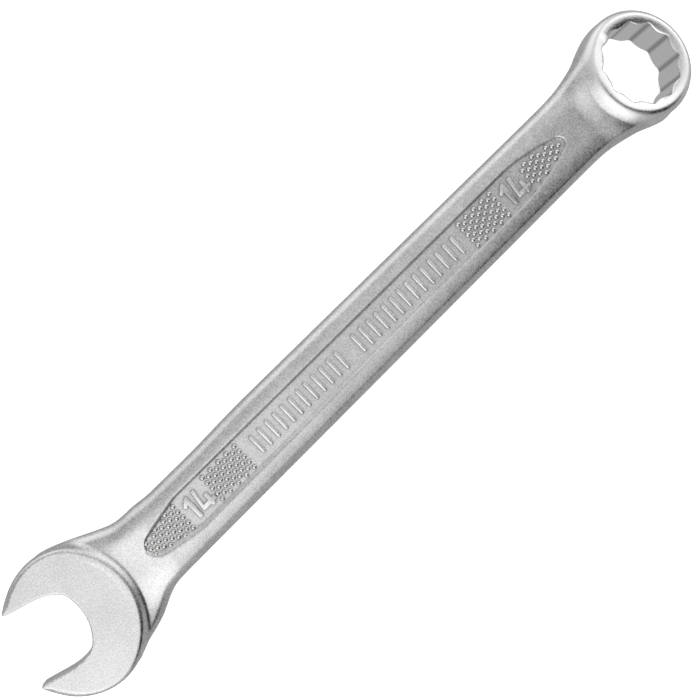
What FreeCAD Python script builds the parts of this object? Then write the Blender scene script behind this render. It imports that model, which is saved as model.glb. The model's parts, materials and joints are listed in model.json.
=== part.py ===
import FreeCAD, Part
import math
import os

import Sketcher

# A combination wrench, size 14: an open jaw at one end, a twelve-point ring at the other.
# The real tool is one forging. Each of its natural regions is a body of its own, and they
# meet face to face. The design frame has +X along the shank towards the ring, +Z out of
# the front face and its origin in the middle of the shank. At the end every body gets the
# placement in which the tool lies on a bench, on its jaw tips and the rim of the ring.

V = FreeCAD.Vector
Z_AXIS = V(0, 0, 1)
Y_AXIS = V(0, 1, 0)
X_AXIS = V(1, 0, 0)

doc = FreeCAD.newDocument("combination_wrench")

# Millimetres and degrees. Every size of the tool is here and nowhere else.
SIZES = [
    ("across_flats", 14.0),
    ("fit_clearance", 0.1),
    ("jaw_wall", 7.85),
    ("jaw_angle", 16.0),
    ("jaw_reach", 7.4),
    ("throat_radius", 9.7),
    ("throat_offset", 4.9),
    ("throat_corner", 2.5),
    ("nose_radius", 0.8),
    ("nose_turn", 42.0),
    ("flank_radius", 18.1),
    ("shoulder_turn", 102.5),
    ("head_thickness", 6.3),
    ("head_edge", 0.6),
    ("head_side_shift", 0.9),
    ("open_neck_length", 4.7),
    ("open_neck_waist", 3.4),
    ("open_neck_step", 0.4),
    ("open_neck_slope", 26.5),
    ("shank_length", 109.0),
    ("shank_width_open", 15.2),
    ("shank_width_ring", 14.2),
    ("shank_thickness_open", 6.6),
    ("shank_thickness_ring", 6.0),
    ("rail_radius", 2.2),
    ("panel_depth_ring", 0.25),
    ("panel_width", 7.3),
    ("panel_open_margin", 0.4),
    ("panel_ring_margin", 1.7),
    ("panel_open_taper", 10.3),
    ("panel_ring_taper", 13.5),
    ("panel_nose_width", 3.0),
    ("panel_tip_width", 0.9),
    ("panel_tip_length", 1.6),
    ("ring_neck_length", 6.8),
    ("ring_neck_crease", 0.5),
    ("ring_neck_inset", 0.35),
    ("ring_neck_top", 3.2),
    ("ring_neck_bottom", 4.3),
    ("ring_wall", 2.65),
    ("ring_thickness", 9.2),
    ("ring_tilt", 15.0),
    ("ring_drop", 2.8),
    ("ring_edge", 0.9),
    ("bore_chamfer", 0.45),
    ("relief_height", 0.25),
    ("relief_margin", 0.35),
    ("stud_diameter", 0.75),
    ("stud_pitch", 1.0),
    ("stud_row_pitch", 1.3),
    ("stud_rows", 5),
    ("stud_field_length", 9.6),
    ("numeral_height", 4.6),
    ("numeral_stroke", 0.85),
    ("numeral_space", 5.8),
    ("rib_width", 0.8),
    ("rib_length", 4.1),
    ("rib_pitch", 1.95),
    ("rib_group_gap", 2.4),
    ("rib_first_share", 0.45),
]

sheet = doc.addObject("Spreadsheet::Sheet", "Sizes")
for row, (alias, value) in enumerate(SIZES, start=1):
    sheet.set("A%d" % row, alias)
    sheet.set("B%d" % row, str(value))
    sheet.setAlias("B%d" % row, alias)
doc.recompute()

# Sizes that follow from the driving ones, as expressions that name the sheet's cells.
FLATS_GAP = "(Sizes.across_flats + Sizes.fit_clearance)"
HALF_GAP = "(%s / 2)" % FLATS_GAP
HEAD_RADIUS = "(%s + Sizes.jaw_wall)" % HALF_GAP
BORE_CORNER_RADIUS = "(%s / cos(30 deg))" % HALF_GAP
RING_RADIUS = "(%s + Sizes.ring_wall)" % BORE_CORNER_RADIUS
SHANK_START = "(-Sizes.shank_length / 2)"
SHANK_END = "(Sizes.shank_length / 2)"
HEAD_X = "(%s - Sizes.open_neck_length - %s)" % (SHANK_START, HEAD_RADIUS)
RING_X = "(%s + Sizes.ring_neck_length + %s)" % (SHANK_END, RING_RADIUS)
# The floors of the two panels are parallel, so a panel is shallowest where the shank is
# thinnest, at its ring end, and its depth grows towards the open end.
HALF_WEB = "(Sizes.shank_thickness_ring / 2 - Sizes.panel_depth_ring)"
PANEL_START = "(%s + Sizes.panel_open_margin)" % SHANK_START
PANEL_END = "(%s - Sizes.panel_ring_margin)" % SHANK_END


def size(expression):
    """The number of millimetres or degrees that an expression over the sheet stands for."""
    found = sheet.evalExpression(expression)
    return float(getattr(found, "Value", found))


def times(expression, factor):
    return "(%s * %s)" % (expression, factor)


def new_body(label):
    body = doc.addObject("PartDesign::Body", label)
    body.Label = label
    return body


def new_sketch(body, name, role, offset=None, turn=None):
    """A sketch on one of the body's own origin planes, moved by offset and turned by turn."""
    sketch = body.newObject("Sketcher::SketchObject", name)
    plane = [f for f in body.Origin.OriginFeatures if f.Role == role][0]
    sketch.AttachmentSupport = [(plane, "")]
    sketch.MapMode = "FlatFace"
    if turn is not None:
        axis, angle = turn
        sketch.AttachmentOffset = FreeCAD.Placement(V(0, 0, 0), FreeCAD.Rotation(axis, 1))
        sketch.setExpression(".AttachmentOffset.Rotation.Angle", angle)
    for axis_name, expression in (offset or {}).items():
        sketch.setExpression(".AttachmentOffset.Base.%s" % axis_name, expression)
    return sketch


def pin(sketch, geometry, point, across, up):
    """Holds one point of a sketch at two expressions, measured from the sketch's origin."""
    for kind, expression in (("DistanceX", across), ("DistanceY", up)):
        constraint = Sketcher.Constraint(kind, geometry, point, size(expression))
        index = sketch.addConstraint(constraint)
        sketch.setExpression("Constraints[%d]" % index, expression)


def add_polygon(sketch, corners):
    """A closed outline of straight edges whose corners are pairs of expressions."""
    points = [V(size(across), size(up), 0) for across, up in corners]
    first = None
    for index, start in enumerate(points):
        end = points[(index + 1) % len(points)]
        line = sketch.addGeometry(Part.LineSegment(start, end), False)
        first = line if first is None else first
        if index:
            sketch.addConstraint(Sketcher.Constraint("Coincident", line - 1, 2, line, 1))
        pin(sketch, line, 1, *corners[index])
    sketch.addConstraint(Sketcher.Constraint("Coincident", line, 2, first, 1))


def add_circle(sketch, radius):
    """A circle about the sketch's origin."""
    circle = sketch.addGeometry(Part.Circle(V(0, 0, 0), Z_AXIS, size(radius)), False)
    sketch.addConstraint(Sketcher.Constraint("Coincident", circle, 3, -1, 1))
    index = sketch.addConstraint(Sketcher.Constraint("Radius", circle, size(radius)))
    sketch.setExpression("Constraints[%d]" % index, radius)


def arc_between(start, end, radius, bulge):
    """The smaller arc of a radius from start to end, bulging to the side that bulge points to."""
    chord = end - start
    middle = (start + end) * 0.5
    normal = V(-chord.y, chord.x, 0).normalize()
    if normal.dot(bulge) < 0:
        normal = -normal
    centre = middle - normal * math.sqrt(radius ** 2 - (chord.Length / 2) ** 2)
    top = centre + normal * radius
    return Part.Arc(start, top, end)


def add_outline(sketch, corners, edges):
    """A closed outline: corners are expression pairs, and edges[i] leaves corner i, either
    None for a straight edge or (radius expression, direction of the bulge) for an arc."""
    points = [V(size(across), size(up), 0) for across, up in corners]
    starts = []
    for index, start in enumerate(points):
        end = points[(index + 1) % len(points)]
        if edges[index] is None:
            curve = sketch.addGeometry(Part.LineSegment(start, end), False)
            starts.append((curve, 1, 2))
            continue
        radius, bulge = edges[index]
        arc = arc_between(start, end, size(radius), bulge)
        curve = sketch.addGeometry(arc, False)
        forward = (sketch.getPoint(curve, 1) - start).Length < 1e-6
        starts.append((curve, 1, 2) if forward else (curve, 2, 1))
    for index, (curve, _, end_point) in enumerate(starts):
        following, start_point, _ = starts[(index + 1) % len(starts)]
        join = Sketcher.Constraint("Coincident", curve, end_point, following, start_point)
        sketch.addConstraint(join)
        pin(sketch, curve, starts[index][1], *corners[index])
        if edges[index] is not None:
            radius = edges[index][0]
            held = sketch.addConstraint(Sketcher.Constraint("Radius", curve, size(radius)))
            sketch.setExpression("Constraints[%d]" % held, radius)


def pad(body, sketch, length, both_ways=True):
    feature = body.newObject("PartDesign::Pad", sketch.Name + "_pad")
    feature.Profile = sketch
    feature.Midplane = both_ways
    feature.Refine = False
    feature.setExpression("Length", length)
    doc.recompute()
    return feature


def pocket(body, sketch, length, both_ways=True, flip=False):
    """Cuts a sketch out of the body, and checks that it did cut something."""
    before = body.Shape.Volume
    feature = body.newObject("PartDesign::Pocket", sketch.Name + "_pocket")
    feature.Profile = sketch
    feature.Midplane = both_ways
    feature.Reversed = flip
    feature.setExpression("Length", length)
    doc.recompute()
    if body.Shape.Volume >= before:
        raise ValueError("%s cuts nothing" % sketch.Name)
    return feature


def fillet(body, base, wanted, radius):
    """Rounds the edges of the base feature that the function wanted picks."""
    names = ["Edge%d" % (i + 1) for i, e in enumerate(base.Shape.Edges) if wanted(e)]
    if not names:
        raise ValueError("no edge to round on %s" % base.Name)
    feature = body.newObject("PartDesign::Fillet", base.Name + "_fillet")
    feature.Base = (base, names)
    feature.setExpression("Radius", radius)
    doc.recompute()
    return feature


def middle_of(edge):
    return edge.valueAt((edge.FirstParameter + edge.LastParameter) / 2)


def runs_along(edge, direction, least=0.9):
    """Whether an edge's two ends lie along a direction of the design frame."""
    if len(edge.Vertexes) < 2:
        return False
    step = edge.Vertexes[1].Point - edge.Vertexes[0].Point
    return step.Length > 1e-6 and abs(step.normalize().dot(direction)) > least


# The open-end head: a flat-faced disc with the jaws cut into it. Its sketch looks along
# the opening, which is turned from the shank's axis by the jaw angle.
def make_open_end_head():
    body = new_body("open_end_head")
    sketch = new_sketch(
        body, "jaw_outline", "XY_Plane",
        offset={"x": HEAD_X, "y": "Sizes.head_side_shift"},
        turn=(Z_AXIS, "180 deg - Sizes.jaw_angle * 1 deg"),
    )
    corner_drop = "(%s - Sizes.throat_corner)" % HALF_GAP
    corner_back = "sqrt((Sizes.throat_radius - Sizes.throat_corner)^2 - %s^2)" % corner_drop
    throat_scale = "(Sizes.throat_radius / (Sizes.throat_radius - Sizes.throat_corner))"
    nose_across = "(%s + Sizes.nose_radius)" % HALF_GAP
    turn = "(Sizes.nose_turn * 1 deg)"
    shoulder = "(Sizes.shoulder_turn * 1 deg)"
    half = [
        ("Sizes.throat_offset - %s * %s" % (corner_back, throat_scale),
         times(corner_drop, throat_scale)),
        ("Sizes.throat_offset - %s" % corner_back, HALF_GAP),
        ("Sizes.jaw_reach", HALF_GAP),
        ("Sizes.jaw_reach + Sizes.nose_radius * cos(%s)" % turn,
         "%s + Sizes.nose_radius * sin(%s)" % (nose_across, turn)),
        ("%s * cos(%s)" % (HEAD_RADIUS, shoulder), "%s * sin(%s)" % (HEAD_RADIUS, shoulder)),
    ]
    mirrored = [(along, "-(%s)" % across) for along, across in reversed(half)]
    outwards, back = V(0, 1, 0), V(-1, 0, 0)
    edges = [
        ("Sizes.throat_corner", V(-1, 1, 0)),
        None,
        ("Sizes.nose_radius", V(1, -0.3, 0)),
        ("Sizes.flank_radius", outwards),
        (HEAD_RADIUS, back),
        ("Sizes.flank_radius", -outwards),
        ("Sizes.nose_radius", V(1, 0.3, 0)),
        None,
        ("Sizes.throat_corner", V(-1, -1, 0)),
        ("Sizes.throat_radius", back),
    ]
    add_outline(sketch, half + mirrored, edges)
    blank = pad(body, sketch, "Sizes.head_thickness")
    centre = V(size(HEAD_X), size("Sizes.head_side_shift"), 0)
    face_height = size("Sizes.head_thickness") / 2
    inner = size("Sizes.throat_radius")

    def on_flank(edge):
        middle = middle_of(edge)
        radial = V(middle.x - centre.x, middle.y - centre.y, 0)
        return abs(abs(middle.z) - face_height) < 1e-6 and radial.Length > inner + 1

    fillet(body, blank, on_flank, "Sizes.head_edge")
    return body


# The neck behind the jaws: fins that flare from the shank to the shoulders of the head,
# thinner than both. The head's own circle is cut out of it, so the two meet on that wall.
def make_open_end_neck():
    body = new_body("open_end_neck")
    half_thick = "(Sizes.head_thickness / 2 - Sizes.open_neck_step)"
    shank_half = "(Sizes.shank_thickness_open / 2)"
    shoulder_x = "(%s + %s * sin(Sizes.open_neck_slope * 1 deg))" % (HEAD_X, HEAD_RADIUS)
    waist_x = "(%s - Sizes.open_neck_waist)" % SHANK_START
    side = new_sketch(body, "neck_side", "XZ_Plane")
    add_polygon(side, [
        (SHANK_START, shank_half), (waist_x, half_thick), (shoulder_x, half_thick),
        (shoulder_x, "-" + half_thick), (waist_x, "-" + half_thick),
        (SHANK_START, "-" + shank_half),
    ])
    blank = pad(body, side, times(HEAD_RADIUS, 3))
    half_width = "(Sizes.shank_width_open / 2)"
    rise = "(%s * cos(Sizes.open_neck_slope * 1 deg))" % HEAD_RADIUS
    reach = times(HEAD_RADIUS, 2)
    for name, sign in (("upper", 1), ("lower", -1)):
        trim = new_sketch(body, "neck_%s_trim" % name, "XY_Plane")
        shoulder_y = "(Sizes.head_side_shift + %s * %d)" % (rise, sign)
        add_polygon(trim, [
            (SHANK_START, times(half_width, sign)),
            (shoulder_x, shoulder_y),
            (times(shoulder_x, 1.2), shoulder_y),
            (times(shoulder_x, 1.2), times(reach, sign)),
            (SHANK_START, times(reach, sign)),
        ])
        blank = pocket(body, trim, times(HEAD_RADIUS, 2))

    def on_rim(edge):
        middle = middle_of(edge)
        return abs(middle.y) > size(half_width) - 0.01 and abs(middle.z) > 1 and (
            runs_along(edge, X_AXIS, 0.7)
        )

    fillet(body, blank, on_rim, "Sizes.rail_radius")
    seat = new_sketch(
        body, "head_seat", "XY_Plane", offset={"x": HEAD_X, "y": "Sizes.head_side_shift"}
    )
    add_circle(seat, HEAD_RADIUS)
    pocket(body, seat, times(HEAD_RADIUS, 2))
    return body


# The shank: a flat bar that narrows and thins towards the ring, with round rails and a
# long recessed panel on both faces. The floors of the panels are parallel.
def panel_corners():
    """The panel's outline: a blunt nose at the open end, a longer and sharper one at the
    ring end."""
    half = "(Sizes.panel_width / 2)"
    nose = "(Sizes.panel_nose_width / 2)"
    tip = "(Sizes.panel_tip_width / 2)"
    open_full = "(%s + Sizes.panel_open_taper)" % PANEL_START
    ring_full = "(%s - Sizes.panel_ring_taper)" % PANEL_END
    knee = "(%s - Sizes.panel_tip_length)" % PANEL_END
    knee_width = "(%s + (%s - %s) * Sizes.panel_tip_length / Sizes.panel_ring_taper)" % (
        nose, half, nose)
    upper = [
        (PANEL_START, nose), (open_full, half), (ring_full, half), (knee, knee_width),
        (PANEL_END, tip),
    ]
    return upper + [(along, "-" + across) for along, across in reversed(upper)]


def make_shank():
    body = new_body("shank")
    side = new_sketch(body, "shank_side", "XZ_Plane")
    thick_open = "(Sizes.shank_thickness_open / 2)"
    thick_ring = "(Sizes.shank_thickness_ring / 2)"
    add_polygon(side, [
        (SHANK_START, thick_open), (SHANK_END, thick_ring),
        (SHANK_END, "-" + thick_ring), (SHANK_START, "-" + thick_open),
    ])
    blank = pad(body, side, "Sizes.shank_width_open * 2")
    for name, sign in (("upper", 1), ("lower", -1)):
        trim = new_sketch(body, "shank_%s_trim" % name, "XY_Plane")
        add_polygon(trim, [
            (SHANK_START, times("Sizes.shank_width_open / 2", sign)),
            (SHANK_END, times("Sizes.shank_width_ring / 2", sign)),
            (SHANK_END, times("Sizes.shank_width_open", sign * 1.5)),
            (SHANK_START, times("Sizes.shank_width_open", sign * 1.5)),
        ])
        blank = pocket(body, trim, "Sizes.shank_width_open")
    blank = fillet(body, blank, lambda edge: runs_along(edge, X_AXIS), "Sizes.rail_radius")
    for name, turn in (("front", None), ("rear", (X_AXIS, "180 deg"))):
        offset = {"z": HALF_WEB if turn is None else "-" + HALF_WEB}
        panel = new_sketch(body, name + "_panel", "XY_Plane", offset=offset, turn=turn)
        add_polygon(panel, panel_corners())
        pocket(body, panel, "Sizes.shank_thickness_open", both_ways=False, flip=True)
    return body


def add_rail_section(sketch, half_width, bottom, top):
    """A bar's cross-section: a rectangle with the rails' round corners."""
    radius = "Sizes.rail_radius"
    side_in = "(%s - %s)" % (half_width, radius)
    corners = [
        (half_width, "(%s + %s)" % (bottom, radius)), (half_width, "(%s - %s)" % (top, radius)),
        (side_in, top), ("-" + side_in, top),
        ("-" + half_width, "(%s - %s)" % (top, radius)),
        ("-" + half_width, "(%s + %s)" % (bottom, radius)),
        ("-" + side_in, bottom), (side_in, bottom),
    ]
    edges = [
        None, (radius, V(1, 1, 0)), None, (radius, V(-1, 1, 0)),
        None, (radius, V(-1, -1, 0)), None, (radius, V(1, -1, 0)),
    ]
    add_outline(sketch, corners, edges)


# The neck behind the ring: it keeps the shank's level on top, drops underneath, and its
# sides run out as tangents to the ring. The ring's own cylinder is cut out of it.
def make_box_end_neck():
    body = new_body("box_end_neck")
    shank_half = "(Sizes.shank_thickness_ring / 2)"
    width = "(Sizes.shank_width_ring / 2)"
    axis_gap = "(%s - %s)" % (RING_X, SHANK_END)
    # Each side runs just inside the tangent from the shank's corner to the ring's circle.
    corner_range = "sqrt(%s^2 + %s^2)" % (axis_gap, width)
    lean = "(asin(%s / %s) - atan(%s / %s))" % (RING_RADIUS, corner_range, width, axis_gap)
    touch_back = "(%s * sin(%s))" % (RING_RADIUS, lean)
    tilt = "(Sizes.ring_tilt * 1 deg)"
    start = new_sketch(body, "neck_at_shank", "YZ_Plane", offset={"z": SHANK_END})
    add_rail_section(start, width, "-" + shank_half, shank_half)
    crease = "(Sizes.ring_neck_length + Sizes.ring_neck_crease)"
    middle = new_sketch(
        body, "neck_at_crease", "YZ_Plane", offset={"z": "%s + %s" % (SHANK_END, crease)}
    )
    add_rail_section(
        middle, "(%s + %s * tan(%s))" % (width, crease, lean),
        "-Sizes.ring_neck_bottom", "Sizes.ring_neck_top",
    )
    end = new_sketch(
        body, "neck_at_ring", "YZ_Plane",
        offset={
            "y": "-Sizes.ring_drop + %s * sin(%s)" % (touch_back, tilt),
            "z": "%s - %s * cos(%s)" % (RING_X, touch_back, tilt),
        },
        turn=(X_AXIS, tilt),
    )
    flange = "(Sizes.ring_thickness / 2 - Sizes.ring_edge)"
    end_half = "(%s * cos(%s) - Sizes.ring_neck_inset)" % (RING_RADIUS, lean)
    add_rail_section(end, end_half, "-" + flange, flange)
    loft = body.newObject("PartDesign::AdditiveLoft", "neck_loft")
    loft.Profile = start
    loft.Sections = [(middle, [""]), (end, [""])]
    loft.Ruled = True
    doc.recompute()
    seat = new_sketch(
        body, "ring_seat", "XY_Plane", offset={"x": RING_X, "z": "-Sizes.ring_drop"},
        turn=(Y_AXIS, tilt),
    )
    add_circle(seat, RING_RADIUS)
    pocket(body, seat, times(RING_RADIUS, 4))
    return body


# The ring: a thick round collar, tilted so that its outer end drops below the shank, with
# a twelve-point bore, which is two hexagons a twelfth of a turn apart.
def make_box_end_ring():
    body = new_body("box_end_ring")
    offset = {"x": RING_X, "z": "-Sizes.ring_drop"}
    tilt = (Y_AXIS, "Sizes.ring_tilt * 1 deg")
    blank_sketch = new_sketch(body, "ring_blank", "XY_Plane", offset=offset, turn=tilt)
    add_circle(blank_sketch, RING_RADIUS)
    blank = pad(body, blank_sketch, "Sizes.ring_thickness")
    rounded = fillet(body, blank, lambda edge: edge.Closed, "Sizes.ring_edge")
    hexagon = new_sketch(body, "bore_hexagon", "XY_Plane", offset=offset, turn=tilt)
    add_polygon(hexagon, [
        ("%s * cos(%d deg)" % (BORE_CORNER_RADIUS, 60 * corner),
         "%s * sin(%d deg)" % (BORE_CORNER_RADIUS, 60 * corner))
        for corner in range(6)
    ])
    first_cut = pocket(body, hexagon, times("Sizes.ring_thickness", 2))
    points = body.newObject("PartDesign::PolarPattern", "bore_points")
    points.Originals = [first_cut]
    points.Axis = (hexagon, ["N_Axis"])
    points.Angle = 30
    points.Occurrences = 2
    body.Tip = points
    doc.recompute()
    mouth = "(%s + Sizes.bore_chamfer)" % BORE_CORNER_RADIUS
    bottom = "(%s * cos(15 deg))" % HALF_GAP
    face = "(Sizes.ring_thickness / 2)"
    for name, sign in (("front", 1), ("rear", -1)):
        flare = new_sketch(
            body, name + "_lead_in", "XZ_Plane",
            offset={"x": RING_X, "y": "-Sizes.ring_drop"},
            turn=(Z_AXIS, "-Sizes.ring_tilt * 1 deg"),
        )
        add_polygon(flare, [
            ("0", times(face, sign)),
            (mouth, times(face, sign)),
            (bottom, "(%s - (%s - %s)) * %d" % (face, mouth, bottom, sign)),
            ("0", "(%s - (%s - %s)) * %d" % (face, mouth, bottom, sign)),
        ])
        before = body.Shape.Volume
        groove = body.newObject("PartDesign::Groove", name + "_lead_in_cut")
        groove.Profile = flare
        groove.ReferenceAxis = (flare, ["V_Axis"])
        groove.Angle = 360
        doc.recompute()
        if body.Shape.Volume >= before:
            raise ValueError("%s lead-in cuts nothing" % name)
    return body


# What stands up from the floor of a panel is made once for the front and once for the
# rear, where it is the same relief turned over about the shank's axis.
def relief_sketch(body, name):
    return new_sketch(body, name, "XY_Plane", offset={"z": HALF_WEB})


def panel_half_width(along):
    """Half the panel's width at a place along the shank."""
    full = size("Sizes.panel_width") / 2
    nose = size("Sizes.panel_nose_width") / 2
    from_open = (along - size(PANEL_START)) / size("Sizes.panel_open_taper")
    from_ring = (size(PANEL_END) - along) / size("Sizes.panel_ring_taper")
    share = max(0.0, min(1.0, from_open, from_ring))
    return nose + (full - nose) * share


def field_starts():
    """Where each field of the relief begins: two fields of studs with the size between
    them at either end of the panel, and the ribs in what is left."""
    margin = size("Sizes.relief_margin")
    field = size("Sizes.stud_field_length")
    space = size("Sizes.numeral_space")
    first = size(PANEL_START) + 2 * margin
    last = size(PANEL_END) - 2 * margin
    return {
        "studs": [first, first + field + space, last - 2 * field - space, last - field],
        "numerals": [first + field, last - field - space],
        "ribs": (first + 2 * field + space, last - 2 * field - space),
    }


def make_studs(label):
    """Four fields of small round studs in staggered columns of five and four."""
    body = new_body(label)
    sketch = relief_sketch(body, label + "_centres")
    radius = size("Sizes.stud_diameter") / 2
    pitch = size("Sizes.stud_pitch")
    row_pitch = size("Sizes.stud_row_pitch")
    margin = size("Sizes.relief_margin")
    columns = int(size("Sizes.stud_field_length") / pitch)
    most = int(size("Sizes.stud_rows"))
    for start in field_starts()["studs"]:
        for column in range(columns):
            along = start + pitch * (column + 0.5)
            in_column = most - column % 2
            for row in range(in_column):
                across = row_pitch * (row - (in_column - 1) / 2)
                if abs(across) + radius + margin > panel_half_width(along):
                    continue
                sketch.addGeometry(Part.Circle(V(along, across, 0), Z_AXIS, radius), False)
    pad(body, sketch, "Sizes.relief_height", both_ways=False)
    return body


def numeral_outlines():
    """The outlines of a 1 and an open-topped 4, drawn one high about the origin: the 1 is
    a stem with a slanting flag, the 4 a leaning stroke, a bar and a short stem."""
    stroke = size("Sizes.numeral_stroke") / size("Sizes.numeral_height")
    top, foot = 0.5, -0.5
    one_right, flag_tip = -0.21, -0.62
    one_left = one_right - stroke
    one = [
        (one_right, top), (one_right, foot), (one_left, foot), (one_left, 0.21),
        (flag_tip + 0.1, 0.11), (flag_tip, 0.22), (one_left + 0.07, top),
    ]
    lean_left, stem_left, four_right = 0.02, 0.3, 0.62
    stem_right = stem_left + stroke * 0.9
    bar_top = -0.22
    bar_foot = bar_top - stroke
    four = [
        (lean_left, top), (lean_left + stroke * 0.9, top), (0.05, bar_top),
        (stem_left, bar_top), (stem_left, 0.07), (stem_right, 0.07), (stem_right, bar_top),
        (four_right, bar_top), (four_right, bar_foot), (stem_right, bar_foot),
        (stem_right, foot), (stem_left, foot), (stem_left, bar_foot), (-0.1, bar_foot),
    ]
    return one, four


def add_closed_line(sketch, points):
    for index, start in enumerate(points):
        end = points[(index + 1) % len(points)]
        sketch.addGeometry(Part.LineSegment(start, end), False)


def make_numerals(label):
    """The wrench's size, twice, as raised figures that read with the jaws on the left."""
    body = new_body(label)
    sketch = relief_sketch(body, label + "_outlines")
    height = size("Sizes.numeral_height")
    for start in field_starts()["numerals"]:
        middle = start + size("Sizes.numeral_space") / 2
        for outline in numeral_outlines():
            points = [V(middle + height * x, height * y, 0) for x, y in outline]
            add_closed_line(sketch, points)
    pad(body, sketch, "Sizes.relief_height", both_ways=False)
    return body


def make_ribs(label):
    """A row of plain raised bars across the middle of the panel, in two groups."""
    body = new_body(label)
    sketch = relief_sketch(body, label + "_outlines")
    low, high = field_starts()["ribs"]
    margin = size("Sizes.relief_margin")
    gap = size("Sizes.rib_group_gap")
    pitch = size("Sizes.rib_pitch")
    half_width = size("Sizes.rib_width") / 2
    half_length = size("Sizes.rib_length") / 2
    usable = high - low - 2 * margin - gap
    count = int(usable / pitch)
    first_group = round(count * size("Sizes.rib_first_share"))
    spare = (usable - count * pitch) / 2
    for index in range(count):
        along = low + margin + spare + pitch * (index + 0.5)
        along += gap if index >= first_group else 0.0
        add_closed_line(sketch, [
            V(along - half_width, -half_length, 0), V(along + half_width, -half_length, 0),
            V(along + half_width, half_length, 0), V(along - half_width, half_length, 0),
        ])
    pad(body, sketch, "Sizes.relief_height", both_ways=False)
    return body


regions = [
    make_open_end_head(),
    make_open_end_neck(),
    make_shank(),
    make_box_end_neck(),
    make_box_end_ring(),
]
relief_makers = [("studs", make_studs), ("size_numbers", make_numerals), ("ribs", make_ribs)]
front_relief = [make("front_" + name) for name, make in relief_makers]
rear_relief = [make("rear_" + name) for name, make in relief_makers]
doc.recompute()


# The rest attitude: the tool is pitched until the jaws and the ring both touch the bench,
# then moved so that the middle of its box's bottom is the origin.
def turned(shape, pitch):
    copy = shape.copy()
    copy.rotate(V(0, 0, 0), Y_AXIS, pitch)
    return copy


def lowest(body, pitch):
    return turned(body.Shape, pitch).optimalBoundingBox(False).ZMin


def find_pitch(head, ring):
    """Halves the range of pitch, in degrees, until head and ring are equally low."""
    flat, steep = 0.0, -12.0
    for _ in range(30):
        pitch = (flat + steep) / 2
        if lowest(ring, pitch) < lowest(head, pitch):
            flat = pitch
        else:
            steep = pitch
    return pitch


rest_pitch = find_pitch(regions[0], regions[-1])
whole = Part.makeCompound([turned(body.Shape, rest_pitch) for body in regions])
box = whole.optimalBoundingBox(False)
to_origin = V(-(box.XMin + box.XMax) / 2, -(box.YMin + box.YMax) / 2, -box.ZMin)
rest = FreeCAD.Placement(to_origin, FreeCAD.Rotation(Y_AXIS, rest_pitch))
turned_over = FreeCAD.Placement(V(0, 0, 0), FreeCAD.Rotation(X_AXIS, 180))
for body in regions + front_relief:
    body.Placement = rest
for body in rear_relief:
    body.Placement = rest.multiply(turned_over)
doc.recompute()

bodies = regions + front_relief + rear_relief
for made in doc.Objects:
    if "Invalid" in made.State or "Error" in made.State:
        raise ValueError("%s failed: %s" % (made.Name, made.State))
for body in bodies:
    if body.Shape.isNull() or not body.Shape.isValid():
        raise ValueError("%s has no sound shape" % body.Label)

os.makedirs("parts", exist_ok=True)
for body in bodies:
    body.Shape.exportStep("parts/%s.step" % body.Label)
    print("%-20s %10.2f mm3  %d solids" % (
        body.Label, body.Shape.Volume, len(body.Shape.Solids)))
print("rest pitch %.3f degrees" % rest_pitch)
print("placed by", to_origin)
print("box", box.XLength, box.YLength, box.ZLength)
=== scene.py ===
import json
import math

import bmesh
import bpy
import numpy as np
from mathutils import Matrix, Vector


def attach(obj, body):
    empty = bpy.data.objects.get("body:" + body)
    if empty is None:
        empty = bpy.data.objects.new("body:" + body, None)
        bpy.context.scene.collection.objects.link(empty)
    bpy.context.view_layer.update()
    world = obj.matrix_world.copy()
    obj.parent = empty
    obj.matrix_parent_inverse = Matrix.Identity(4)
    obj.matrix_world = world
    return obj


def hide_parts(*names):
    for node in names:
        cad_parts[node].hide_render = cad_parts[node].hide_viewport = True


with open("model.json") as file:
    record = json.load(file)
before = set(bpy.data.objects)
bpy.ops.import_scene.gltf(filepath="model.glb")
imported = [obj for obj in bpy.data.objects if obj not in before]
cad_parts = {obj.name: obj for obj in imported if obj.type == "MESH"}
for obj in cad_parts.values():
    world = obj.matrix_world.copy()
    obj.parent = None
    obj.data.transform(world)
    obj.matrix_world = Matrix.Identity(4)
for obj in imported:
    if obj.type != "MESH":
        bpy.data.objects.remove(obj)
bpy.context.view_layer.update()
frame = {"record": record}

# Where the tool lies. The wrench rests on its jaw tips and the rim of its ring, so its
# shank climbs a little towards the ring. Lengths below are in millimetres in the tool's own
# frame: +X runs along the shank to the ring, +Z stands out of the front face.
mounts = {mount["name"]: mount for mount in frame["record"]["mounts"]}
face_normal = Vector(mounts["open_jaw"]["axis"]).normalized()
shank_axis = Vector((0, 1, 0)).cross(face_normal).normalized()
side_axis = face_normal.cross(shank_axis)
ring_x, ring_drop = 72.091, 2.8
ring_centre = Vector(mounts["box_end_socket"]["pos_m"])
tool_origin = ring_centre - shank_axis * (ring_x / 1000) + face_normal * (ring_drop / 1000)
tool_to_row = Matrix.Translation(tool_origin) @ Matrix((
    (shank_axis.x, side_axis.x, face_normal.x, 0),
    (shank_axis.y, side_axis.y, face_normal.y, 0),
    (shank_axis.z, side_axis.z, face_normal.z, 0),
    (0, 0, 0, 1),
)) @ Matrix.Scale(0.001, 4)
tool_turn = tool_to_row.to_3x3() * 1000


# The forging: one piece of chrome-vanadium steel, hammered in a die, trimmed along the
# parting line, machined in the jaws and broached in the ring. It is worked out here as a
# field that is negative inside the steel, from which a mesh is drawn.
def round_max(a, b, radius):
    """The intersection of two fields, with its edge rounded."""
    reach = np.hypot(np.maximum(a + radius, 0), np.maximum(b + radius, 0))
    return np.minimum(-radius, np.maximum(a, b)) + reach


def round_min(a, b, radius):
    """The union of two fields, with its inside corner filled."""
    return -round_max(-a, -b, radius)


def ease(low, high, value):
    """Goes smoothly from 0 at low to 1 at high."""
    share = np.clip((value - low) / (high - low), 0, 1)
    return share * share * (3 - 2 * share)


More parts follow.
